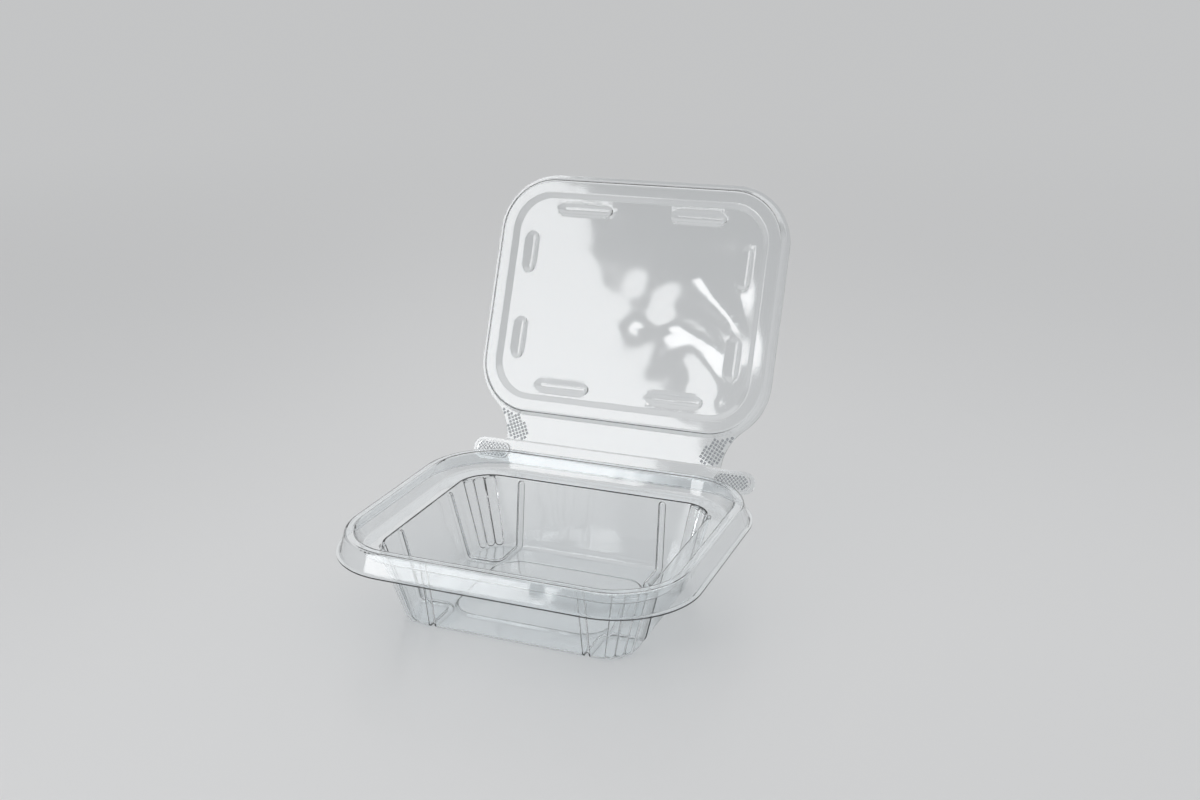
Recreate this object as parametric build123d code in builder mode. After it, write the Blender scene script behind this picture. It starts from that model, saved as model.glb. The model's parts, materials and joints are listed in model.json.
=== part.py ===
"""Clear hinged clamshell pack: tray with fluted corners, tear strip, and a lid that plugs into the rim."""
import os
from math import atan2, cos, hypot, radians, sin, tan

from build123d import *

# Thermoformed sheet
sheet = 0.5
overrun = 2.0
touch = 0.01

# Tray rim, in order from the lip inwards
rim_width = 137.0
rim_depth = 114.0
rim_corner = 30.0
lip_width = 1.3
lip_drop = 7.4
skirt_run = 2.2
ridge_width = 3.5
ridge_height = 35.0
ridge_fall = 2.6
seat_width = 7.4
seat_drop = 6.4
lip_bend = 0.6
ridge_bend = 1.1
seat_bend = 0.8
mouth_bend = 0.7

# Tray tub: the run of its walls from the mouth in to the floor, and its inside bends
side_wall_run = 7.1
front_wall_run = 4.1
tub_corner = 12.5
base_bend = 1.5

# Raised panel in the floor
panel_side_margin = 13.4
panel_front_margin = 11.9
panel_corner = 11.0
panel_rise = 1.0
panel_draft = 35.0

# Beads that run down the walls and round each corner foot
bead_radius = 1.1
bead_turn = 4.5
bead_side_margin = 16.9
bead_front_margin = 14.4
bead_head_gap = 0.9

# Flutes in the upright corners
flute_foot_radius = 1.55
flute_head_radius = 2.0
flute_count = 3
flute_foot_pitch = 15.5
flute_head_pitch = 21.0
flute_head_gap = 0.9
flute_foot_gap = 0.3

# Fold line and tear strip
hinge_setback = 4.0
lid_clearance = 0.35
fold_clearance = 0.3
tear_clearance = 0.3
strip_end_margin = 7.5
tab_length = 15.5
tab_width = 6.6
tab_rise = 0.7
tab_end_margin = 1.4

# Lid, in order from the flange edge inwards
lid_inset = 6.0
plug_clearance = 0.35
plug_depth = 3.9
band_width = 4.5
step_run = 2.2
panel_drop = 2.4
flange_bend = 0.8
plug_bend = 0.8
step_bend = 0.7
neck_margin = 16.0
neck_join_angle = 50.0
opening_angle = 113.0

# Stacking lugs on the lid panel
lug_width = 6.8
lug_row_length_share = 0.242
lug_side_length_share = 0.237
lug_height = 1.4
lug_draft = 50.0
lug_crown_share = 0.85
lug_row_margin = 4.4
lug_side_margin = 6.3
lug_row_place_share = 0.232
lug_side_place_share = 0.219

# Worked out from the values above
skirt_place = lip_width + skirt_run
ridge_place = skirt_place + ridge_width
seat_place = ridge_place + ridge_fall
mouth_place = seat_place + seat_width
lip_height = ridge_height - lip_drop
seat_height = ridge_height - seat_drop
mouth_width = rim_width - 2 * mouth_place
mouth_depth = rim_depth - 2 * mouth_place
mouth_corner = rim_corner - mouth_place
base_width = mouth_width - 2 * side_wall_run
base_depth = mouth_depth - 2 * front_wall_run
panel_width = base_width - 2 * panel_side_margin
panel_depth = base_depth - 2 * panel_front_margin
bead_side_place = base_depth / 2 - bead_side_margin
bead_front_place = base_width / 2 - bead_front_margin
wall_rise = seat_height - sheet
side_draft = atan2(side_wall_run, wall_rise)
front_draft = atan2(front_wall_run, wall_rise)
hinge_y = rim_depth / 2 + hinge_setback
hinge_height = ridge_height + lid_clearance + sheet / 2
strip_rise = hinge_height - lip_height + sheet / 2
strip_width = hypot(hinge_setback, strip_rise)


def half_width(height, grow):
    """Half width of the tub at a height, its walls moved out by grow."""
    return base_width / 2 + (height - sheet) * tan(side_draft) + grow / cos(side_draft)


def half_depth(height, grow):
    """Half depth of the tub at a height, its walls moved out by grow."""
    return base_depth / 2 + (height - sheet) * tan(front_draft) + grow / cos(front_draft)


def tub_form(grow, top):
    """Solid tub with drafted walls, its inside skin moved out by grow and its mouth at top."""
    floor = sheet - grow
    with BuildPart() as form:
        with BuildSketch(Plane.XZ):
            with BuildLine():
                Polyline(
                    (-half_width(floor, grow), floor),
                    (half_width(floor, grow), floor),
                    (half_width(top, grow), top),
                    (-half_width(top, grow), top),
                    close=True,
                )
            make_face()
        extrude(amount=rim_depth, both=True)
        with BuildSketch(Plane.YZ):
            with BuildLine():
                Polyline(
                    (-half_depth(floor, grow), floor),
                    (half_depth(floor, grow), floor),
                    (half_depth(top, grow), top),
                    (-half_depth(top, grow), top),
                    close=True,
                )
            make_face()
        extrude(amount=rim_width, both=True, mode=Mode.INTERSECT)
        fillet(form.edges().filter_by(Plane.XY, reverse=True), radius=tub_corner + grow)
        fillet(form.faces().sort_by(Axis.Z)[0].edges(), radius=base_bend + grow)
    return form.part


def corner_point(height, turn):
    """Point on the inside skin of the tub's corner, at a height and a turn from the side wall."""
    centre_x = half_width(height, 0) - tub_corner / cos(side_draft)
    centre_y = half_depth(height, 0) - tub_corner / cos(front_draft)
    return Vector(centre_x + tub_corner * cos(turn), centre_y + tub_corner * sin(turn), height)


def corner_flutes(grow):
    """Tapered columns in the upright corners of the tub, with round feet and their skin moved out by grow."""
    foot_height = sheet + flute_foot_gap + flute_foot_radius
    head_height = seat_height - sheet - flute_head_gap
    foot_radius = flute_foot_radius + grow
    head_radius = flute_head_radius + grow
    with BuildPart() as form:
        for number in range(flute_count):
            step = number - (flute_count - 1) / 2
            foot = corner_point(foot_height, radians(45 + step * flute_foot_pitch))
            head = corner_point(head_height, radians(45 + step * flute_head_pitch))
            upright = (head - foot).normalized()
            side = upright.cross(Vector(1, 1, 0)).normalized()
            length = (head - foot).length + grow
            with BuildSketch(Plane(origin=foot, x_dir=side, z_dir=side.cross(upright))):
                with BuildLine():
                    CenterArc((0, 0), foot_radius, -90, 90)
                    Polyline((foot_radius, 0), (head_radius, length), (0, length), (0, -foot_radius))
                make_face()
            revolve(axis=Axis(foot, upright))
        mirror(about=Plane.YZ)
        mirror(about=Plane.XZ)
    return form.part


def foot_beads(radius):
    """Round bars that outline each corner foot: down one wall, over the floor and up the next wall."""
    head_height = seat_height - sheet - bead_head_gap - bead_radius
    route_points = (
        Vector(half_width(head_height, sheet), bead_side_place, head_height),
        Vector(half_width(0, sheet), bead_side_place, 0),
        Vector(bead_front_place, bead_side_place, 0),
        Vector(bead_front_place, half_depth(0, sheet), 0),
        Vector(bead_front_place, half_depth(head_height, sheet), head_height),
    )
    base_turn = base_bend + sheet
    with BuildPart() as form:
        with BuildLine() as route:
            FilletPolyline(*route_points, radius=(base_turn, bead_turn, base_turn))
        with BuildSketch(Plane(origin=route_points[0], z_dir=route_points[1] - route_points[0])):
            Circle(radius)
        sweep(path=route.wire())
        with Locations(route_points[0], route_points[-1]):
            Sphere(radius)
        mirror(about=Plane.YZ)
        mirror(about=Plane.XZ)
    return form.part


def sheet_section(points, bends):
    """Section of bent sheet, drawn along its upper skin."""
    with BuildSketch() as section:
        with BuildLine():
            skin = FilletPolyline(*points, radius=bends)
            offset(skin, amount=sheet, side=Side.RIGHT, closed=True)
        make_face()
    return section.sketch_local


def sheet_ring(points, bends, width, depth, corner):
    """Bent sheet round a rectangle with round corners, its section drawn inwards from the edge."""
    straight_x = width / 2 - corner
    straight_y = depth / 2 - corner
    front_plane = Plane(origin=(0, -depth / 2, 0), x_dir=(0, 1, 0), z_dir=(1, 0, 0))
    side_plane = Plane(origin=(width / 2, 0, 0), x_dir=(-1, 0, 0), z_dir=(0, 1, 0))
    section = sheet_section(points, bends)
    with BuildPart() as form:
        with BuildSketch(front_plane):
            add(section)
        extrude(amount=straight_x)
        with BuildSketch(front_plane.offset(straight_x)):
            add(section)
        revolve(axis=Axis((straight_x, -straight_y, 0), (0, 0, 1)), revolution_arc=90)
        with BuildSketch(side_plane):
            add(section)
        extrude(amount=-straight_y)
        mirror(about=Plane.YZ)
        mirror(about=Plane.XZ)
    return form.part


# Hollow of the tub: the inside skin with its rounded mouth, flutes, beads and the raised panel
with BuildPart() as hollow:
    add(tub_form(0, seat_height + overrun))
    with BuildSketch(Plane.XY.offset(seat_height)):
        RectangleRounded(mouth_width + seat_width, mouth_depth + seat_width, mouth_corner + seat_width / 2)
    extrude(amount=overrun)
    mouth_edges = hollow.edges().filter_by_position(Axis.Z, seat_height - touch, seat_height + touch)
    mouth_edges = mouth_edges.filter_by_position(Axis.X, -mouth_width / 2 - touch, mouth_width / 2 + touch)
    mouth_edges = mouth_edges.filter_by_position(Axis.Y, -mouth_depth / 2 - touch, mouth_depth / 2 + touch)
    fillet(mouth_edges, radius=mouth_bend)
    add(corner_flutes(0))
    add(foot_beads(bead_radius + sheet), mode=Mode.SUBTRACT)
    with BuildSketch(Plane.XY.offset(sheet)):
        RectangleRounded(panel_width + 2 * sheet, panel_depth + 2 * sheet, panel_corner + sheet)
    extrude(amount=panel_rise, taper=panel_draft, mode=Mode.SUBTRACT)

# Tray: outside skin of the tub, rim ring, then the hollow taken out
rim_points = (
    (0, lip_height),
    (lip_width, lip_height),
    (skirt_place, ridge_height),
    (ridge_place, ridge_height),
    (seat_place, seat_height),
    (mouth_place + overrun, seat_height),
)
rim_bends = (lip_bend, ridge_bend, ridge_bend, seat_bend)
with BuildPart() as tray:
    add(tub_form(sheet, seat_height))
    add(corner_flutes(sheet))
    add(foot_beads(bead_radius), mode=Mode.SUBTRACT)
    with BuildSketch(Plane.XY):
        RectangleRounded(panel_width, panel_depth, panel_corner)
    extrude(amount=panel_rise, taper=panel_draft, mode=Mode.SUBTRACT)
    add(sheet_ring(rim_points, rim_bends, rim_width, rim_depth, rim_corner))
    add(hollow.part, mode=Mode.SUBTRACT)

# Tear strip: a flat band with round ends, leaning back from the lip up to the fold line
strip_plane = Plane(
    origin=(0, rim_depth / 2, lip_height - sheet / 2),
    x_dir=(1, 0, 0),
    z_dir=(0, -strip_rise, hinge_setback),
)
strip_length = rim_width - 2 * strip_end_margin
strip_middle = (strip_width + tear_clearance) / 2
tab_place = strip_length / 2 - tab_end_margin - tab_length / 2
with BuildPart() as tear_strip:
    with BuildSketch(strip_plane.offset(-sheet / 2)):
        with Locations((0, strip_middle)):
            SlotOverall(strip_length, strip_width - tear_clearance)
    extrude(amount=sheet)
    with BuildSketch(strip_plane.offset(sheet / 2)):
        with Locations((-tab_place, strip_middle), (tab_place, strip_middle)):
            SlotOverall(tab_length, tab_width)
    extrude(amount=tab_rise)
    strip_normal = Axis(strip_plane.origin, strip_plane.z_dir)
    fillet(tear_strip.faces().sort_by(strip_normal)[-2:].edges(), radius=tab_rise / 2)
    with BuildSketch(strip_plane.offset(-sheet / 2)):
        with Locations((-tab_place, strip_middle), (tab_place, strip_middle)):
            SlotOverall(tab_length - 2 * sheet, tab_width - 2 * sheet)
    extrude(amount=tab_rise, mode=Mode.SUBTRACT)

# Lid, drawn with the fold line along X, its reach along Y and its outside face up
wall_lean = atan2(ridge_fall, seat_drop)
lid_width = rim_width - 2 * lid_inset
lid_depth = rim_depth - 2 * lid_inset
lid_corner = rim_corner - lid_inset
neck_width = lid_width - 2 * neck_margin
flange_top = sheet / 2
flange_level = hinge_height + flange_top
wall_at_flange = ridge_place - (flange_level - ridge_height) * tan(wall_lean)
flange_width = wall_at_flange + (sheet + plug_clearance) / cos(wall_lean) - lid_inset
plug_place = flange_width + plug_depth * tan(wall_lean)
band_place = plug_place + band_width
step_place = band_place + step_run
panel_top = flange_top - panel_drop
lid_points = (
    (0, flange_top),
    (flange_width, flange_top),
    (plug_place, flange_top - plug_depth),
    (band_place, flange_top - plug_depth),
    (step_place, panel_top),
    (step_place + overrun, panel_top),
)
lid_bends = (flange_bend, plug_bend, step_bend, step_bend)
lid_panel_width = lid_width - 2 * step_place
lid_panel_depth = lid_depth - 2 * step_place
lid_panel_corner = lid_corner - step_place


def lug_form(length, width, height):
    """Raised bar with round ends, sloping sides and a round crown."""
    crown_half = width / 2 - height * tan(radians(lug_draft))
    crown_bend = lug_crown_share * crown_half / tan(radians(90 - lug_draft) / 2)
    with BuildPart() as form:
        with BuildSketch():
            SlotOverall(length, width)
        extrude(amount=height, taper=lug_draft)
        fillet(form.faces().sort_by(Axis.Z)[-1].edges(), radius=crown_bend)
    return form.part


lug_wall = sheet / cos(radians(lug_draft))
lug_row_length = lid_panel_width * lug_row_length_share
lug_row_place = lid_panel_width * lug_row_place_share
lug_side_length = lid_panel_depth * lug_side_length_share
lug_side_place = lid_panel_depth * lug_side_place_share
row_y = lid_panel_depth / 2 - lug_row_margin
side_x = lid_panel_width / 2 - lug_side_margin
row_places = [
    Location((x, hinge_y + y, panel_top - sheet))
    for x in (-lug_row_place, lug_row_place)
    for y in (-row_y, row_y)
]
side_places = [
    Location((x, hinge_y + y, panel_top - sheet), (0, 0, 90))
    for x in (-side_x, side_x)
    for y in (-lug_side_place, lug_side_place)
]
fold_start = sheet / 2 + fold_clearance
corner_centre_x = lid_width / 2 - lid_corner
corner_centre_y = hinge_y - lid_depth / 2 + lid_corner
join_turn = radians(neck_join_angle)
join_x = corner_centre_x + lid_corner * cos(join_turn)
join_y = corner_centre_y - lid_corner * sin(join_turn)
with BuildPart() as lid:
    with Locations((0, hinge_y, 0)):
        add(sheet_ring(lid_points, lid_bends, lid_width, lid_depth, lid_corner))
    with BuildSketch(Plane.XY.offset(panel_top - sheet)):
        with Locations((0, hinge_y)):
            RectangleRounded(lid_panel_width, lid_panel_depth, lid_panel_corner)
    extrude(amount=sheet)
    with BuildSketch(Plane.XY.offset(flange_top - sheet)):
        with BuildLine():
            Polyline((join_x, join_y), (0, join_y), (0, fold_start), (neck_width / 2, fold_start))
            TangentArc(
                (join_x, join_y),
                (neck_width / 2, fold_start),
                tangent=(-sin(join_turn), -cos(join_turn)),
            )
        make_face()
        mirror(about=Plane.YZ)
        with Locations((0, hinge_y)):
            RectangleRounded(
                lid_width - flange_width,
                lid_depth - flange_width,
                lid_corner - flange_width / 2,
                mode=Mode.SUBTRACT,
            )
    extrude(amount=sheet)
    for length, places in ((lug_row_length, row_places), (lug_side_length, side_places)):
        with Locations(*places):
            add(lug_form(length, lug_width, lug_height + sheet))
    for length, places in ((lug_row_length, row_places), (lug_side_length, side_places)):
        with Locations(*places):
            add(lug_form(length - 2 * lug_wall, lug_width - 2 * lug_wall, lug_height), mode=Mode.SUBTRACT)

# The lid stands open on the fold line
lid_plane = Plane(
    origin=(0, hinge_y, hinge_height),
    x_dir=(-1, 0, 0),
    z_dir=(0, sin(radians(opening_angle)), cos(radians(opening_angle))),
)
lid.part.locate(lid_plane.location)

tray.part.label = "tray"
tear_strip.part.label = "tear_strip"
lid.part.label = "lid"

os.makedirs("parts", exist_ok=True)
export_step(tray.part, "parts/tray.step")
export_step(tear_strip.part, "parts/tear_strip.step")
export_step(lid.part, "parts/lid.step")
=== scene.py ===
"""Looks of a clear hinged clamshell pack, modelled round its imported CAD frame."""
import json
import math

import bpy
from bpy.props import FloatProperty, FloatVectorProperty, IntProperty, PointerProperty
from bpy.types import Operator, Panel, PropertyGroup
from mathutils import Matrix, Vector

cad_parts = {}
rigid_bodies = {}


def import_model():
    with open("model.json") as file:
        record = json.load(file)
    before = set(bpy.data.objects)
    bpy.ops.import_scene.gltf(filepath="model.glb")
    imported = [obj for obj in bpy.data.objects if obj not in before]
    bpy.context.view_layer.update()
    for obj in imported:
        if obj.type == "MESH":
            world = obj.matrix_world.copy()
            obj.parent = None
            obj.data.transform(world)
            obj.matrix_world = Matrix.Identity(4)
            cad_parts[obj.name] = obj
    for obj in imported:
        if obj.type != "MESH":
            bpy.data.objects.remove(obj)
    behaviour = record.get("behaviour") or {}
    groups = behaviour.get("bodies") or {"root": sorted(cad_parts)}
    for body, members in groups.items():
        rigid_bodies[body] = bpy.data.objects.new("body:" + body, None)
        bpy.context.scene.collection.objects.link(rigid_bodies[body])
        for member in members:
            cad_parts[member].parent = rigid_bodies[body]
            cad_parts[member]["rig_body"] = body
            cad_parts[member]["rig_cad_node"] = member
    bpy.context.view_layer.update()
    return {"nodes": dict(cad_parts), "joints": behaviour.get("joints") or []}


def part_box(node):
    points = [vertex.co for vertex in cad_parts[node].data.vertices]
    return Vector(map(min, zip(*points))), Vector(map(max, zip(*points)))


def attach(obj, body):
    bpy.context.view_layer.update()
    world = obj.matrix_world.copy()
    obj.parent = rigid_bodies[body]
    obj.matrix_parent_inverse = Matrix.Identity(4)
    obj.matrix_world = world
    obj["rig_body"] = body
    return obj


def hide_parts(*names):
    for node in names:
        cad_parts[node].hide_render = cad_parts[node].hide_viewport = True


bl_info = {
    "name": "Clear clamshell pack",
    "version": (1, 0, 0),
    "blender": (4, 5, 0),
    "location": "View3D > Sidebar > Pack",
    "description": "Clear sheet, grips, tear line and studio for a hinged clamshell pack",
    "category": "Object",
}

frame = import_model()

# Frame of the lid, read from the hinge: the fold line, outwards from the panel, and up the lid.
hinge = frame["joints"][0]
ALONG = Vector((1, 0, 0))
FOLD = Vector(hinge["pos_m"])
OPEN_ANGLE = math.radians(-hinge["range_deg"][0])
LID_OUT = Vector((0, math.sin(OPEN_ANGLE), math.cos(OPEN_ANGLE)))
LID_REACH = LID_OUT.cross(-ALONG)
TRAY_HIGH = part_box("tray")[1]
LID_LOW, LID_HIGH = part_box("lid")

# One millimetre in metres. The lengths below are in millimetres, up to the stage.
MM = 0.001
MERGE = 0.002
SMOOTH_ANGLE = math.radians(50)
FLAT_ANGLE = math.radians(0.05)

# Depth of the faint ripples in the sheet, and how their node group mixes them.
TRAY_RIPPLE = 0.22
LID_RIPPLE = 0.08
STRIP_RIPPLE = 0.05
TRIM_RIPPLE = 0.02
RIPPLE_INPUTS = (("Slow Scale", 60.0), ("Fine Scale", 900.0), ("Gloss", 0.035))
SLOW_DETAIL = 1.0
FINE_DETAIL = 3.0
FINE_SHARE = 0.012
HAZE_SHARE = 0.03

# Slow warp of the lid's panel: calm at the left and at the top, and none near the plug ring.
LID_MIDDLE = 61.0
RING = 11.0
RING_FADE = 9.0
CALM_SHARE = 0.25
CALM_FROM = -22.0
CALM_TO = 26.0
CALM_FOOT = 12.0
CALM_HEAD = 27.0
# Each wave: size, pace, turn and shift. Each bend of the pattern: size, pace and shift.
WAVES = (
    (0.50, 0.70, 0.35, 0.6),
    (0.34, 1.15, 1.25, 2.1),
    (0.22, 1.70, 2.20, 4.0),
    (0.14, 2.30, 0.90, 1.3),
)
BEND_ACROSS = (0.30, 4.1, 0.7)
BEND_UP = (0.26, 3.3, 2.2)

# Studs of the grips: squares on a slanting grid, sunk a little into the sheet's face.
SHEET_HALF = 0.25
SQUARE_TURN = math.radians(45)
TAB_SLANT = math.radians(45)
NECK_SLANT = math.radians(25)
SUNK = 0.03
TOP_SHARE = 0.3
ROUND_SHARE = 0.25
GRIP_GLOSS = 4.0

# Patch of studs at each end of the neck: its field, its inner ellipse, the neck's flaring outline
# and the plug ring above it.
GRIP_FIELD = 44.0
GRIP_CENTRE = (45.0, 7.5)
GRIP_FOOT = 0.9
GRIP_HEAD = 14.5
GRIP_TOP = 15.8
GRIP_WIDE = 52.0
GRIP_NARROW = 37.0
NECK_HALF = 45.85
NECK_FLARE = 5.9
NECK_BEND = 2.2
RING_FOOT = 11.9
RING_STRAIGHT = 41.5
RING_CORNER = 18.0
RING_CLEAR = 0.65

# Film along the fold, measured up the lid from the fold line.
NECK_STRAIGHT = 46.4
FILM_FROM = 0.34
FILM_TO = 0.62
FILM_THICK = 0.14

# Tear line below the strip, its bridges, and the pull tabs at the strip's ends.
LIP_MIDDLE = 27.35
LIP_STRAIGHT = 38.5
TEAR_GAP = 0.3
NICK_LONG = 0.9
NICK_THICK = 0.3
NICK_BITE = 0.12
TAB_LENGTH = 15.5
TAB_WIDTH = 6.6
TAB_EDGE = 0.9
TAB_PLACE = 51.85
TAB_RAISE = 0.15
TAB_TOP = 0.95
TAB_SPARE = 1.2

# Stage, in metres. The backdrop's limits are heights of the view direction, and the floor runs into
# the backdrop between two distances from the pack.
BACKDROP_FROM = 0.10
BACKDROP_TO = 0.26
FLOOR_SIZE = 9.0
FLOOR_DROP = 0.0001
FLOOR_GLOSS = 0.28
FLOOR_FADE_FROM = 0.35
FLOOR_FADE_TO = 1.3

# Each softbox: name, its power in the settings, place, target, lean, width and height.
LAMP_LEAN = math.radians(41)
SOFTBOXES = (
    ("lid_softbox", "key_power", (-0.603, -0.812, 0.575), (0.018, 0.071, 0.575),
     LAMP_LEAN, 0.443, 0.62),
    ("skirt_softbox", "skirt_power", (-0.62, -0.80, 0.0975), (0.001, 0.083, 0.0975),
     0, 0.62, 0.185),
    ("streak_softbox", "streak_power", (-0.3426, -0.995, 0.702), (0.2784, -0.112, 0.702),
     LAMP_LEAN, 0.07, 0.145),
    ("top_softbox", "top_power", (0, 2.6, 2.4), (0, 2.6, 0),
     0, 8.0, 9.0),
)

# Camera at the photograph's angle: place in metres, then yaw, downward pitch and roll in degrees.
CAMERA_PLACE = Vector((0.20124, -0.42797, 0.24165))
CAMERA_ANGLES = (-22.7934, 19.0948, -0.8777)
CAMERA_LENS = 42.154
CAMERA_SENSOR = 36.0


class PackSheet(PropertyGroup):
    """Clear sheet that the whole pack is formed from."""

    tint: FloatVectorProperty(
        name="Tint", description="Colour of the clear sheet", subtype="COLOR", size=3,
        min=0, max=1, default=(0.955, 0.972, 0.98),
    )
    roughness: FloatProperty(
        name="Roughness", description="Mean roughness of the gloss", subtype="FACTOR",
        min=0, max=1, default=0.035,
    )
    ior: FloatProperty(
        name="IOR", description="Refraction of the plastic", min=1, max=2.5, default=1.57,
    )
    shadow: FloatVectorProperty(
        name="Shadow", description="Share of lamp light that passes one face", subtype="COLOR",
        size=3, min=0, max=1, default=(0.93, 0.94, 0.945),
    )
    warp_height: FloatProperty(
        name="Panel warp", description="Height of the slow waves in the lid's panel",
        subtype="DISTANCE", unit="LENGTH", min=0, max=0.002, default=0.34 * MM,
    )
    warp_length: FloatProperty(
        name="Warp length", description="Length of the slow waves in the lid's panel",
        subtype="DISTANCE", unit="LENGTH", min=0.005, max=0.2, default=38 * MM,
    )
    warp_grid: FloatProperty(
        name="Warp grid", description="Spacing of the cuts that let the panel bend",
        subtype="DISTANCE", unit="LENGTH", min=0.001, max=0.02, default=2.5 * MM,
    )


class PackGrips(PropertyGroup):
    """Fine moulded grips on the neck and on the pull tabs."""

    neck_pitch: FloatProperty(
        name="Neck pitch", description="Spacing of the studs on the neck", subtype="DISTANCE",
        unit="LENGTH", min=0.0005, max=0.005, default=1.42 * MM,
    )
    tab_pitch: FloatProperty(
        name="Tab pitch", description="Spacing of the studs on the pull tabs", subtype="DISTANCE",
        unit="LENGTH", min=0.0005, max=0.005, default=1.1 * MM,
    )
    stud_height: FloatProperty(
        name="Stud height", description="Height of a stud", subtype="DISTANCE", unit="LENGTH",
        min=0.00005, max=0.001, default=0.24 * MM,
    )
    stud_share: FloatProperty(
        name="Stud share", description="Width of a stud as a share of the spacing",
        subtype="FACTOR", min=0.2, max=1, default=0.71,
    )
    # Grey tint of the studs is painted shade: it stands in for the dark look that light gives the
    # textured grips. Only their frosted, rougher gloss is real.
    stud_painted_shade: FloatVectorProperty(
        name="Stud tint", description="Colour of the frosted studs", subtype="COLOR", size=3,
        min=0, max=1, default=(0.44, 0.46, 0.48),
    )
    nick_count: IntProperty(
        name="Nicks", description="Bridges along the tear line", min=2, max=60, default=13,
    )


class PackStage(PropertyGroup):
    """Floor, backdrop and lamps."""

    floor: FloatVectorProperty(
        name="Floor", description="Colour of the floor", subtype="COLOR", size=3,
        min=0, max=1, default=(0.74, 0.745, 0.75),
    )
    world: FloatVectorProperty(
        name="Room", description="Colour of the room round the pack", subtype="COLOR", size=3,
        min=0, max=1, default=(0.06, 0.062, 0.065),
    )
    horizon: FloatVectorProperty(
        name="Horizon", description="Colour of the low backdrop all round", subtype="COLOR", size=3,
        min=0, max=1, default=(0.55, 0.555, 0.56),
    )
    key_power: FloatProperty(
        name="Key", description="Power of the leaning softbox that the lid mirrors",
        subtype="POWER", unit="POWER", min=0, max=200, default=2.87,
    )
    skirt_power: FloatProperty(
        name="Skirt", description="Power of the low softbox that the skirt mirrors",
        subtype="POWER", unit="POWER", min=0, max=200, default=1.23,
    )
    streak_power: FloatProperty(
        name="Streak", description="Power of the narrow front softbox",
        subtype="POWER", unit="POWER", min=0, max=200, default=0.175,
    )
    top_power: FloatProperty(
        name="Top", description="Power of the overhead softbox",
        subtype="POWER", unit="POWER", min=0, max=400, default=212.0,
    )


def settings(name):
    """One of the add-on's property groups on the scene."""
    return getattr(bpy.context.scene, name)


def clear_selection():
    """Leave edit mode with nothing selected."""
    if bpy.context.object and bpy.context.object.mode != "OBJECT":
        bpy.ops.object.mode_set(mode="OBJECT")
    bpy.ops.object.select_all(action="DESELECT")


def make_active(piece):
    """Select one piece alone and make it active."""
    clear_selection()
    piece.select_set(True)
    bpy.context.view_layer.objects.active = piece


def settle(piece, matrix):
    """Put a flat-built piece in its place and keep that place in its mesh."""
    make_active(piece)
    piece.matrix_world = matrix
    bpy.ops.object.transform_apply(location=True, rotation=True, scale=True)


def plane_matrix(origin, along, outward):
    """Matrix of a plane with its first axis and its outward direction."""
    across = outward.cross(along)
    return Matrix.Translation(origin) @ Matrix((along, across, outward)).transposed().to_4x4()


def lid_matrix(depth):
    """Plane of the lid's sheet at a depth inwards: along the fold, up the lid, and inwards."""
    return plane_matrix(FOLD - LID_OUT * depth, ALONG, -LID_OUT)


def repeat(piece, count, step):
    """Repeat a piece in a row with an array that is applied."""
    bpy.ops.object.modifier_add(type="ARRAY")
    array = piece.modifiers[-1]
    array.count = count
    array.use_relative_offset = False
    array.use_constant_offset = True
    array.constant_offset_displace = step
    bpy.ops.object.modifier_apply(modifier=array.name)


def sheet_ripple_group():
    """Node group: faint drawing ripples and mottle of thermoformed sheet."""
    name = "sheet_ripple"
    if name in bpy.data.node_groups:
        return bpy.data.node_groups[name]
    group = bpy.data.node_groups.new(name, "ShaderNodeTree")
    sockets = group.interface
    for label, value in RIPPLE_INPUTS:
        socket = sockets.new_socket(label, in_out="INPUT", socket_type="NodeSocketFloat")
        socket.default_value = value
    for label in ("Height", "Roughness"):
        sockets.new_socket(label, in_out="OUTPUT", socket_type="NodeSocketFloat")
    nodes = group.nodes
    links = group.links
    enter = nodes.new("NodeGroupInput")
    leave = nodes.new("NodeGroupOutput")
    place = nodes.new("ShaderNodeTexCoord")
    slow = nodes.new("ShaderNodeTexNoise")
    slow.inputs["Detail"].default_value = SLOW_DETAIL
    fine = nodes.new("ShaderNodeTexNoise")
    fine.inputs["Detail"].default_value = FINE_DETAIL
    blend = nodes.new("ShaderNodeMath")
    blend.operation = "MULTIPLY_ADD"
    blend.inputs[1].default_value = FINE_SHARE
    haze = nodes.new("ShaderNodeMath")
    haze.operation = "MULTIPLY_ADD"
    haze.inputs[1].default_value = HAZE_SHARE
    links.new(place.outputs["Object"], slow.inputs["Vector"])
    links.new(place.outputs["Object"], fine.inputs["Vector"])
    links.new(enter.outputs["Slow Scale"], slow.inputs["Scale"])
    links.new(enter.outputs["Fine Scale"], fine.inputs["Scale"])
    links.new(fine.outputs["Fac"], blend.inputs[0])
    links.new(slow.outputs["Fac"], blend.inputs[2])
    links.new(blend.outputs["Value"], leave.inputs["Height"])
    links.new(slow.outputs["Fac"], haze.inputs[0])
    links.new(enter.outputs["Gloss"], haze.inputs[2])
    links.new(haze.outputs["Value"], leave.inputs["Roughness"])
    return group


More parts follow.
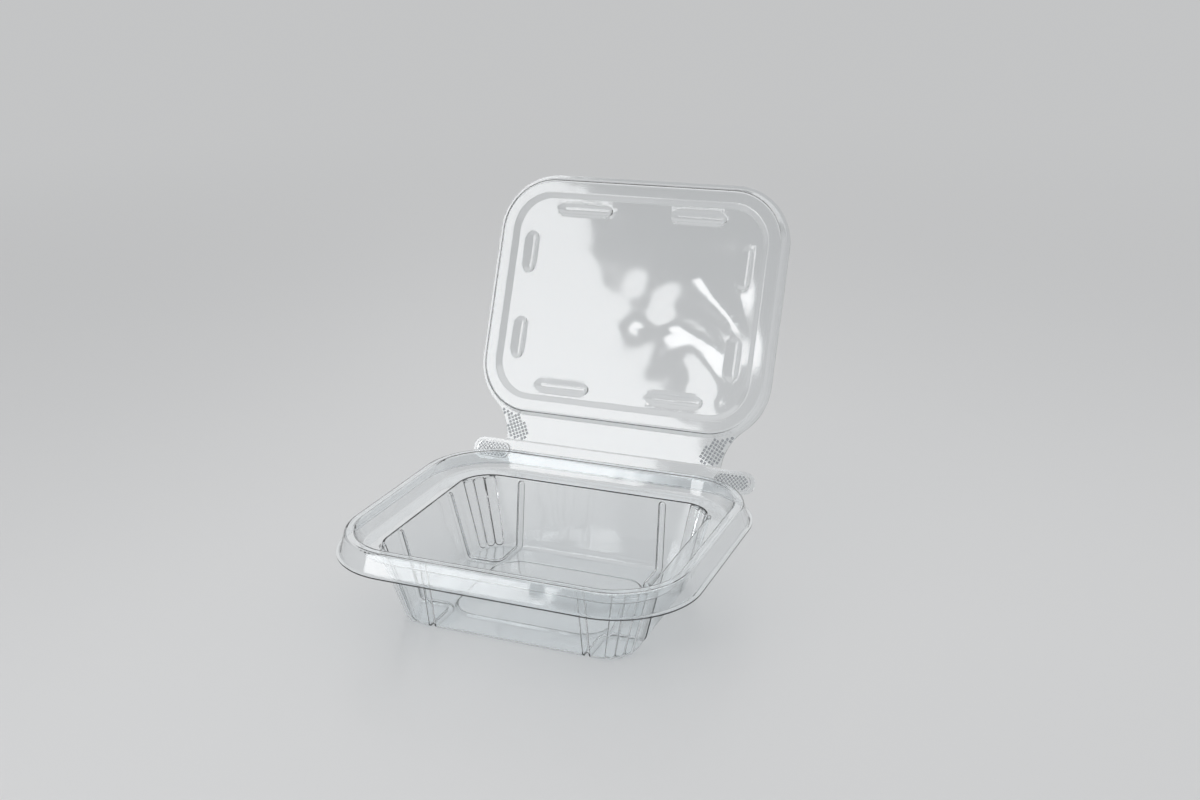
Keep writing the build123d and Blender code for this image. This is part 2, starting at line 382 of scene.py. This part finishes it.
def clear_material(name, ripple, gloss_gain=1.0, tint=None):
    """Clear glossy sheet that lets lamp light through, with ripples of a depth in millimetres."""
    if name in bpy.data.materials:
        return bpy.data.materials[name]
    sheet = settings("pack_sheet")
    material = bpy.data.materials.new(name)
    material.use_nodes = True
    nodes = material.node_tree.nodes
    links = material.node_tree.links
    nodes.clear()
    plastic = nodes.new("ShaderNodeBsdfPrincipled")
    plastic.inputs["Base Color"].default_value = (*(tint or sheet.tint), 1)
    plastic.inputs["IOR"].default_value = sheet.ior
    plastic.inputs["Transmission Weight"].default_value = 1.0
    ripples = nodes.new("ShaderNodeGroup")
    ripples.node_tree = sheet_ripple_group()
    ripples.inputs["Gloss"].default_value = sheet.roughness * gloss_gain
    bump = nodes.new("ShaderNodeBump")
    bump.inputs["Strength"].default_value = 1.0
    bump.inputs["Distance"].default_value = ripple * MM
    passing = nodes.new("ShaderNodeBsdfTransparent")
    passing.inputs["Color"].default_value = (*sheet.shadow, 1)
    path = nodes.new("ShaderNodeLightPath")
    soft = nodes.new("ShaderNodeMath")
    soft.operation = "MAXIMUM"
    mix = nodes.new("ShaderNodeMixShader")
    out = nodes.new("ShaderNodeOutputMaterial")
    links.new(ripples.outputs["Height"], bump.inputs["Height"])
    links.new(ripples.outputs["Roughness"], plastic.inputs["Roughness"])
    links.new(bump.outputs["Normal"], plastic.inputs["Normal"])
    links.new(path.outputs["Is Shadow Ray"], soft.inputs[0])
    links.new(path.outputs["Is Diffuse Ray"], soft.inputs[1])
    links.new(soft.outputs["Value"], mix.inputs["Fac"])
    links.new(plastic.outputs["BSDF"], mix.inputs[1])
    links.new(passing.outputs["BSDF"], mix.inputs[2])
    links.new(mix.outputs["Shader"], out.inputs["Surface"])
    return material


def grip_material():
    """Frosted clear sheet of the studs, with a grey tint that is painted shade."""
    return clear_material("clear_grip", TRIM_RIPPLE, GRIP_GLOSS, settings("pack_grips").stud_painted_shade)


def dress(piece, material):
    """Give a piece one material."""
    piece.data.materials.clear()
    piece.data.materials.append(material)


def ease(share):
    """Smooth step from 0 to 1."""
    share = min(max(share, 0.0), 1.0)
    return share * share * (3 - 2 * share)


def stud_field(name, pitch, slant, columns, rows, keep):
    """Field of low square studs on a slanting grid, kept where keep says so."""
    grips = settings("pack_grips")
    half = pitch * grips.stud_share / math.sqrt(2)
    rise = grips.stud_height
    sunk = SUNK * MM
    clear_selection()
    bpy.ops.mesh.primitive_cone_add(
        vertices=4, radius1=half, radius2=half * TOP_SHARE, depth=rise + sunk,
        location=(0, 0, (rise - sunk) / 2), rotation=(0, 0, SQUARE_TURN),
    )
    piece = bpy.context.object
    piece.name = name
    bpy.ops.object.transform_apply(location=True, rotation=True, scale=True)
    for edge in piece.data.edges:
        edge.select = all(piece.data.vertices[i].co.z > 0 for i in edge.vertices)
    for part in (piece.data.vertices, piece.data.polygons):
        for entry in part:
            entry.select = False
    for edge in piece.data.edges:
        for i in edge.vertices:
            piece.data.vertices[i].select |= edge.select
    bpy.ops.object.mode_set(mode="EDIT")
    bpy.ops.mesh.select_mode(type="EDGE")
    bpy.ops.mesh.bevel(offset=rise * ROUND_SHARE, segments=1)
    bpy.ops.object.mode_set(mode="OBJECT")
    repeat(piece, columns, (pitch, 0, 0))
    repeat(piece, rows, (0, pitch, 0))
    middle = Vector((columns - 1, rows - 1, 0)) * -pitch / 2
    settle(piece, Matrix.Rotation(slant, 4, "Z") @ Matrix.Translation(middle))
    unslant = Matrix.Rotation(-slant, 3, "Z")
    for face in piece.data.polygons:
        cell = (unslant @ face.center - middle) / pitch
        place = Vector((round(cell.x), round(cell.y), 0)) * pitch + middle
        place.rotate(Matrix.Rotation(slant, 3, "Z"))
        face.select = not keep(place.x, place.y)
    bpy.ops.object.mode_set(mode="EDIT")
    bpy.ops.mesh.select_mode(type="FACE")
    bpy.ops.mesh.delete(type="FACE")
    bpy.ops.object.mode_set(mode="OBJECT")
    return piece


def bar_row(name, size, count, pitch):
    """Row of small bars with rounded edges, centred and running along X, in millimetres."""
    clear_selection()
    bpy.ops.mesh.primitive_cube_add(size=1.0)
    piece = bpy.context.object
    piece.name = name
    piece.scale = Vector(size) * MM
    piece.location.x = -pitch * (count - 1) / 2 * MM
    bpy.ops.object.transform_apply(location=True, rotation=True, scale=True)
    bpy.ops.object.mode_set(mode="EDIT")
    bpy.ops.mesh.select_all(action="SELECT")
    bpy.ops.mesh.bevel(offset=min(size) * ROUND_SHARE * MM, segments=2)
    bpy.ops.object.mode_set(mode="OBJECT")
    if count > 1:
        repeat(piece, count, (pitch * MM, 0, 0))
    bpy.ops.object.shade_smooth_by_angle(angle=SMOOTH_ANGLE)
    return piece


def wave(across, up):
    """Height of the lid panel's slow warp, as a share of its largest height."""
    length = settings("pack_sheet").warp_length
    size, pace, shift = BEND_ACROSS
    bent_across = across / length + size * math.sin(pace * up / length + shift)
    size, pace, shift = BEND_UP
    bent_up = up / length + size * math.sin(pace * across / length + shift)
    total = 0.0
    for size, pace, turn, shift in WAVES:
        along = bent_across * math.cos(turn) + bent_up * math.sin(turn)
        total += size * math.sin(2 * math.pi * along * pace + shift)
    wild = ease((across / MM - CALM_FROM) / (CALM_TO - CALM_FROM))
    wild *= 1 - ease((up / MM - CALM_FOOT) / (CALM_HEAD - CALM_FOOT))
    return total * (CALM_SHARE + (1 - CALM_SHARE) * wild)


class PACK_OT_tray(Operator):
    """Give the tray its clear sheet"""

    bl_idname = "pack.tray"
    bl_label = "Tray"

    def execute(self, context):
        dress(frame["nodes"]["tray"], clear_material("clear_sheet_tray", TRAY_RIPPLE))
        return {"FINISHED"}


class PACK_OT_lid(Operator):
    """Model the lid's sheet with the slow warp of its panel"""

    bl_idname = "pack.lid"
    bl_label = "Lid"

    def execute(self, context):
        sheet = settings("pack_sheet")
        make_active(frame["nodes"]["lid"])
        bpy.ops.object.duplicate()
        piece = context.object
        piece.name = "lid_sheet"
        piece.data.name = "lid_sheet"
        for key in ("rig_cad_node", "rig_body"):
            del piece[key]
        piece.parent = None
        bpy.ops.object.mode_set(mode="EDIT")
        bpy.ops.mesh.select_all(action="SELECT")
        bpy.ops.mesh.customdata_custom_splitnormals_clear()
        bpy.ops.mesh.remove_doubles(threshold=MERGE * MM)
        bpy.ops.mesh.dissolve_limited(angle_limit=FLAT_ANGLE)
        half_width = (LID_HIGH.x - LID_LOW.x) / 2
        reach = (LID_HIGH - FOLD).dot(LID_REACH)
        for direction, low, high in (
            (ALONG, -half_width, half_width),
            (LID_REACH, 0.0, reach),
        ):
            cuts = int((high - low) / sheet.warp_grid)
            for number in range(1, cuts):
                bpy.ops.mesh.select_all(action="SELECT")
                bpy.ops.mesh.bisect(
                    plane_co=FOLD + direction * (low + (high - low) * number / cuts),
                    plane_no=direction,
                )
        bpy.ops.object.mode_set(mode="OBJECT")
        middle = FOLD + LID_REACH * (LID_MIDDLE * MM)
        for vertex in piece.data.vertices:
            from_middle = vertex.co - middle
            across = from_middle.x
            up = from_middle.dot(LID_REACH)
            inside = min(half_width - abs(across), reach / 2 - abs(up)) / MM - RING
            lift = wave(across, up) * sheet.warp_height * ease(inside / RING_FADE)
            vertex.co += LID_OUT * lift
        bpy.ops.object.shade_smooth_by_angle(angle=SMOOTH_ANGLE)
        bpy.ops.object.modifier_add(type="WEIGHTED_NORMAL")
        piece.modifiers[-1].keep_sharp = True
        bpy.ops.object.modifier_apply(modifier=piece.modifiers[-1].name)
        dress(piece, clear_material("clear_sheet_lid", LID_RIPPLE))
        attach(piece, "cover")
        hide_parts("lid")
        return {"FINISHED"}


def on_neck_patch(x, up):
    """Whether a stud at x along the fold and up the lid, in millimetres, is on the right patch."""
    if not GRIP_FOOT < up < GRIP_TOP:
        return False
    share = up / GRIP_HEAD
    inner = GRIP_WIDE - (GRIP_WIDE - GRIP_NARROW) * math.sqrt(max(1 - share * share, 0))
    outer = NECK_HALF + NECK_FLARE * share ** NECK_BEND
    if not inner < x < outer:
        return False
    turn = max(x - RING_STRAIGHT, 0)
    ring = RING_FOOT + RING_CORNER - math.sqrt(max(RING_CORNER ** 2 - turn ** 2, 0))
    return up < ring - RING_CLEAR


class PACK_OT_neck_grips(Operator):
    """Model the fields of studs at both ends of the neck, and the thin film along the fold"""

    bl_idname = "pack.neck_grips"
    bl_label = "Neck grips"

    def execute(self, context):
        pitch = settings("pack_grips").neck_pitch
        count = int(GRIP_FIELD * MM / pitch)
        for side, name in ((1, "neck_grip_right"), (-1, "neck_grip_left")):
            centre = Vector((side * GRIP_CENTRE[0], GRIP_CENTRE[1], 0)) * MM

            def keep(x, y, side=side, centre=centre):
                return on_neck_patch((x + centre.x) * side / MM, (y + centre.y) / MM)

            piece = stud_field(name, pitch, -side * NECK_SLANT, count, count, keep)
            settle(piece, lid_matrix(SHEET_HALF * MM) @ Matrix.Translation(centre))
            dress(piece, grip_material())
            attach(piece, "cover")
        film_size = (2 * NECK_STRAIGHT, FILM_TO - FILM_FROM, FILM_THICK)
        film_height = (FILM_FROM + FILM_TO) / 2 * MM
        film = bar_row("fold_film", film_size, 1, 0.0)
        settle(film, lid_matrix(0) @ Matrix.Translation((0, film_height, 0)))
        dress(film, clear_material("clear_fold", TRIM_RIPPLE))
        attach(film, "cover")
        return {"FINISHED"}


class PACK_OT_tear_strip(Operator):
    """Dress the tear strip, knurl its pull tabs and bridge its tear line"""

    bl_idname = "pack.tear_strip"
    bl_label = "Tear strip"

    def execute(self, context):
        grips = settings("pack_grips")
        strip_sheet = clear_material("clear_sheet_strip", STRIP_RIPPLE)
        dress(frame["nodes"]["tear_strip"], strip_sheet)
        foot = Vector((0, TRAY_HIGH.y, LIP_MIDDLE * MM))
        upward = (FOLD - foot).normalized()
        facing = ALONG.cross(upward)
        tab_height = (FOLD - foot).length / 2 + TAB_RAISE * MM
        tab_half = (TAB_LENGTH - TAB_WIDTH) / 2 * MM
        reach = (TAB_WIDTH / 2 - TAB_EDGE) * MM

        def on_tab(x, y):
            return math.hypot(max(abs(x) - tab_half, 0), y) < reach

        count = int(TAB_LENGTH * MM * TAB_SPARE / grips.tab_pitch)
        for side, name in ((1, "tab_knurl_right"), (-1, "tab_knurl_left")):
            piece = stud_field(name, grips.tab_pitch, TAB_SLANT, count, count, on_tab)
            place = foot + ALONG * (side * TAB_PLACE * MM) + upward * tab_height
            settle(piece, plane_matrix(place + facing * (TAB_TOP * MM), ALONG, facing))
            dress(piece, grip_material())
            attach(piece, "base")
        nick_size = (NICK_LONG, TEAR_GAP + 2 * NICK_BITE, NICK_THICK)
        nick_pitch = 2 * (LIP_STRAIGHT - NICK_LONG) / (grips.nick_count - 1)
        nicks = bar_row("tear_nicks", nick_size, grips.nick_count, nick_pitch)
        settle(nicks, plane_matrix(foot + upward * (TEAR_GAP / 2 * MM), ALONG, facing))
        dress(nicks, strip_sheet)
        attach(nicks, "base")
        return {"FINISHED"}


def aim(eye, target, roll):
    """Matrix of a lamp at eye that shines at target, rolled about its beam."""
    turn = (Vector(target) - Vector(eye)).to_track_quat("-Z", "Y")
    return Matrix.Translation(eye) @ turn.to_matrix().to_4x4() @ Matrix.Rotation(roll, 4, "Z")


def softbox(name, eye, target, roll, width, height, power):
    """Rectangular area lamp."""
    bpy.ops.object.light_add(type="AREA")
    lamp = bpy.context.object
    lamp.name = name
    lamp.matrix_world = aim(eye, target, roll)
    lamp.data.shape = "RECTANGLE"
    lamp.data.size = width
    lamp.data.size_y = height
    lamp.data.energy = power


def seen_share(nodes, links, share):
    """Socket with a share of the backdrop, for rays that show it straight or through the pack."""
    path = nodes.new("ShaderNodeLightPath")
    seen = path.outputs["Is Camera Ray"]
    for ray in ("Is Transmission Ray", "Is Glossy Ray"):
        either = nodes.new("ShaderNodeMath")
        either.operation = "MAXIMUM"
        links.new(seen, either.inputs[0])
        links.new(path.outputs[ray], either.inputs[1])
        seen = either.outputs["Value"]
    both = nodes.new("ShaderNodeMath")
    both.operation = "MULTIPLY"
    links.new(seen, both.inputs[0])
    links.new(share, both.inputs[1])
    return both.outputs["Value"]


def fade(nodes, start, end, first, last):
    """Smooth range node from a first to a last value."""
    node = nodes.new("ShaderNodeMapRange")
    node.interpolation_type = "SMOOTHSTEP"
    for label, value in (
        ("From Min", start), ("From Max", end), ("To Min", first), ("To Max", last),
    ):
        node.inputs[label].default_value = value
    return node


def room_world(stage):
    """Dim room with a pale backdrop low all round, which is seen but lights nothing."""
    world = bpy.data.worlds.new("room")
    world.use_nodes = True
    nodes = world.node_tree.nodes
    links = world.node_tree.links
    room = nodes["Background"]
    place = nodes.new("ShaderNodeTexCoord")
    split = nodes.new("ShaderNodeSeparateXYZ")
    low = fade(nodes, BACKDROP_FROM, BACKDROP_TO, 1.0, 0.0)
    shade = nodes.new("ShaderNodeMix")
    shade.data_type = "RGBA"
    shade.inputs["A"].default_value = (*stage.world, 1)
    shade.inputs["B"].default_value = (*stage.horizon, 1)
    links.new(place.outputs["Generated"], split.inputs["Vector"])
    links.new(split.outputs["Z"], low.inputs["Value"])
    links.new(seen_share(nodes, links, low.outputs["Result"]), shade.inputs["Factor"])
    links.new(shade.outputs["Result"], room.inputs["Color"])
    return world


def floor_material(stage):
    """Pale floor that runs into the backdrop's colour far from the pack."""
    material = bpy.data.materials.new("pale_floor")
    material.use_nodes = True
    nodes = material.node_tree.nodes
    links = material.node_tree.links
    coat = nodes["Principled BSDF"]
    coat.inputs["Base Color"].default_value = (*stage.floor, 1)
    coat.inputs["Roughness"].default_value = FLOOR_GLOSS
    place = nodes.new("ShaderNodeTexCoord")
    away = nodes.new("ShaderNodeVectorMath")
    away.operation = "LENGTH"
    far = fade(nodes, FLOOR_FADE_FROM, FLOOR_FADE_TO, 0.0, 1.0)
    backdrop = nodes.new("ShaderNodeEmission")
    backdrop.inputs["Color"].default_value = (*stage.horizon, 1)
    mix = nodes.new("ShaderNodeMixShader")
    links.new(place.outputs["Object"], away.inputs[0])
    links.new(away.outputs["Value"], far.inputs["Value"])
    links.new(seen_share(nodes, links, far.outputs["Result"]), mix.inputs["Fac"])
    links.new(coat.outputs["BSDF"], mix.inputs[1])
    links.new(backdrop.outputs["Emission"], mix.inputs[2])
    links.new(mix.outputs["Shader"], nodes["Material Output"].inputs["Surface"])
    return material


def camera_matrix():
    """Place and turn of the camera."""
    yaw, pitch, roll = (math.radians(angle) for angle in CAMERA_ANGLES)
    level = Vector((math.cos(yaw), -math.sin(yaw), 0))
    ahead = Vector((math.sin(yaw), math.cos(yaw), 0))
    look = ahead * math.cos(pitch) - Vector((0, 0, math.sin(pitch)))
    rise = level.cross(look)
    right = level * math.cos(roll) + rise * math.sin(roll)
    up = rise * math.cos(roll) - level * math.sin(roll)
    turn = Matrix((right, up, -look)).transposed().to_4x4()
    return Matrix.Translation(CAMERA_PLACE) @ turn


class PACK_OT_stage(Operator):
    """Set up the pale floor and backdrop, the softboxes and the camera"""

    bl_idname = "pack.stage"
    bl_label = "Stage"

    def execute(self, context):
        stage = settings("pack_stage")
        clear_selection()
        bpy.ops.mesh.primitive_plane_add(size=FLOOR_SIZE, location=(0, 0, -FLOOR_DROP))
        floor = context.object
        floor.name = "floor"
        dress(floor, floor_material(stage))
        context.scene.world = room_world(stage)
        for name, power, eye, target, roll, width, height in SOFTBOXES:
            softbox(name, eye, target, roll, width, height, getattr(stage, power))
        bpy.ops.object.camera_add()
        camera = context.object
        camera.name = "photo_camera"
        camera.matrix_world = camera_matrix()
        camera.data.lens = CAMERA_LENS
        camera.data.sensor_width = CAMERA_SENSOR
        context.scene.camera = camera
        context.scene.view_settings.view_transform = "Standard"
        return {"FINISHED"}


OPERATORS = (PACK_OT_tray, PACK_OT_lid, PACK_OT_neck_grips, PACK_OT_tear_strip, PACK_OT_stage)
GROUPS = {"pack_sheet": PackSheet, "pack_grips": PackGrips, "pack_stage": PackStage}


class PACK_PT_panel(Panel):
    """Sidebar panel that lists the steps"""

    bl_idname = "PACK_PT_panel"
    bl_label = "Clear clamshell pack"
    bl_space_type = "VIEW_3D"
    bl_region_type = "UI"
    bl_category = "Pack"

    def draw(self, context):
        for operator in OPERATORS:
            self.layout.operator(operator.bl_idname)


CLASSES = (*GROUPS.values(), *OPERATORS, PACK_PT_panel)


def register():
    """Register the classes and hang the property groups on the scene."""
    for entry in CLASSES:
        bpy.utils.register_class(entry)
    for name, group in GROUPS.items():
        setattr(bpy.types.Scene, name, PointerProperty(type=group))


def unregister():
    """Undo register."""
    for name in GROUPS:
        delattr(bpy.types.Scene, name)
    for entry in reversed(CLASSES):
        bpy.utils.unregister_class(entry)


def main():
    """Build everything in order."""
    register()
    bpy.ops.pack.tray()
    bpy.ops.pack.lid()
    bpy.ops.pack.neck_grips()
    bpy.ops.pack.tear_strip()
    bpy.ops.pack.stage()


if __name__ == "__main__":
    main()
